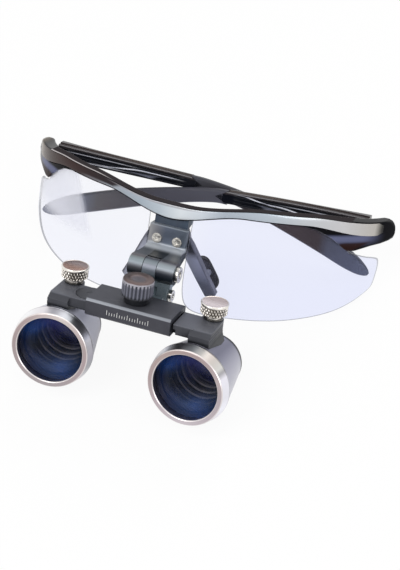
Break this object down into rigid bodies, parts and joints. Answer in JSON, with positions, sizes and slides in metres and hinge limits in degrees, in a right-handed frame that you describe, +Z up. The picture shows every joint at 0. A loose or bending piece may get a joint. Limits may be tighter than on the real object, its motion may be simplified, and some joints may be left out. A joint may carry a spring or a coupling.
{
  "type": "surgical loupe glasses",
  "caption": "Flip-up binocular loupe on a rimless wrap eyewear front with folded temples; tilting bar, interpupillary knob, swivelling barrels and thumbscrews.",
  "frame": {"origin": "centre of the bounding box at the table, with the object standing on the rear rims of both barrels and the two folded temple tips", "axes": "+X to the wearer's left, +Y to the rear (toward the wearer), -Y the way the barrels look, +Z up from the table"},
  "size_m": [0.1502, 0.1084, 0.0478],
  "materials": {
    "brow_black": "glossy black",
    "gunmetal": "dark chrome plating on plastic",
    "lens_clear": "clear hard-coated polycarbonate",
    "slate_plastic": "satin dark grey",
    "pad_rubber": "soft satin black-brown",
    "black_anodised": "black anodised satin",
    "stainless": "bright turned stainless",
    "temple_black": "glossy black",
    "temple_chrome": "brown-grey chrome plating on plastic",
    "tip_rubber": "matte slate grey",
    "knob_charcoal": "charcoal anodised",
    "satin_silver": "fine turned satin silver",
    "barrel_lavender": "satin grey anodised",
    "seal_black": "matte black",
    "coated_glass": "blue anti-reflection coating",
    "baffle_black": "matte black"
  },
  "bodies": {
    "front": {"brow_frame": "brow_black", "brow_trim": "gunmetal", "end_piece_left": "brow_black", "end_piece_right": "brow_black", "lens_left": "lens_clear", "lens_right": "lens_clear", "nose_bridge": "slate_plastic", "nose_pad_left": "pad_rubber", "nose_pad_right": "pad_rubber", "frame_plate": "black_anodised", "mount_block": "black_anodised", "mount_screws": "stainless", "flip_pin": "stainless", "hinge_pin_left": "stainless", "hinge_pin_right": "stainless"},
    "temple_left": {"temple_left": "temple_black", "temple_shell_left": "temple_chrome", "temple_tip_left": "tip_rubber"},
    "temple_right": {"temple_right": "temple_black", "temple_shell_right": "temple_chrome", "temple_tip_right": "tip_rubber"},
    "link": {"flip_link": "black_anodised", "tilt_pin": "stainless"},
    "bar": {"bar_housing": "black_anodised", "bar_cover": "black_anodised", "bar_bracket": "black_anodised", "bracket_screws": "stainless"},
    "knob": {"centre_knob": "knob_charcoal", "pinion": "stainless"},
    "slide_left": {"slide_left": "black_anodised", "swivel_pin_left": "stainless"},
    "barrel_left": {"block_left": "black_anodised", "saddle_left": "black_anodised", "barrel_shell_left": "barrel_lavender", "bezel_left": "satin_silver", "seal_left": "seal_black", "objective_left": "coated_glass", "baffle_left": "baffle_black", "eye_lens_left": "coated_glass", "eye_ring_left": "black_anodised"},
    "screw_left": {"thumbscrew_left": "satin_silver"},
    "slide_right": {"slide_right": "black_anodised", "swivel_pin_right": "stainless"},
    "barrel_right": {"block_right": "black_anodised", "saddle_right": "black_anodised", "barrel_shell_right": "barrel_lavender", "bezel_right": "satin_silver", "seal_right": "seal_black", "objective_right": "coated_glass", "baffle_right": "baffle_black", "eye_lens_right": "coated_glass", "eye_ring_right": "black_anodised"},
    "screw_right": {"thumbscrew_right": "satin_silver"}
  },
  "joints": [
    {"name": "temple_left_fold", "type": "hinge", "parent": "front", "child": "temple_left", "pos_m": [0.0695, 0.04835, 0.02079], "axis": [0, -0.5299, -0.848], "range_deg": [0, 91]},
    {"name": "temple_right_fold", "type": "hinge", "parent": "front", "child": "temple_right", "pos_m": [-0.0695, 0.04835, 0.02079], "axis": [0, 0.5299, 0.848], "range_deg": [0, 87.8]},
    {"name": "flip_up", "type": "hinge", "parent": "front", "child": "link", "pos_m": [0.0008, -0.01076, 0.0366], "axis": [-1, 0, 0], "range_deg": [0, 90]},
    {"name": "tilt", "type": "hinge", "parent": "link", "child": "bar", "pos_m": [0.0008, -0.01322, 0.0268], "axis": [1, 0, 0], "range_deg": [-15, 20]},
    {"name": "slide_left_out", "type": "slide", "parent": "bar", "child": "slide_left", "axis": [1, 0, 0], "range_m": [-0.0035, 0.0045]},
    {"name": "knob_turn", "type": "hinge", "parent": "bar", "child": "knob", "pos_m": [0.0008, -0.02384, 0.03984], "axis": [0, 0.4305, 0.9026], "range_deg": [-55.71, 71.62]},
    {"name": "slide_right_out", "type": "slide", "parent": "bar", "child": "slide_right", "axis": [-1, 0, 0], "range_m": [-0.0035, 0.0045]},
    {"name": "swivel_left", "type": "hinge", "parent": "slide_left", "child": "barrel_left", "pos_m": [0.0188, -0.02721, 0.03092], "axis": [0, 0.4305, 0.9026], "range_deg": [-4, 4]},
    {"name": "screw_left_turn", "type": "hinge", "parent": "barrel_left", "child": "screw_left", "pos_m": [0.0283, -0.01985, 0.0324], "axis": [0, 0.4305, 0.9026], "range_deg": [0, 360]},
    {"name": "swivel_right", "type": "hinge", "parent": "slide_right", "child": "barrel_right", "pos_m": [-0.0172, -0.02721, 0.03092], "axis": [0, 0.4305, 0.9026], "range_deg": [-4, 4]},
    {"name": "screw_right_turn", "type": "hinge", "parent": "barrel_right", "child": "screw_right", "pos_m": [-0.0267, -0.01985, 0.0324], "axis": [0, 0.4305, 0.9026], "range_deg": [0, 360]}
  ],
  "couplings": [
    {"joint": "knob_turn", "follows": "slide_left_out", "rad_per_m": 277.78},
    {"joint": "slide_right_out", "follows": "slide_left_out", "ratio": 1}
  ]
}
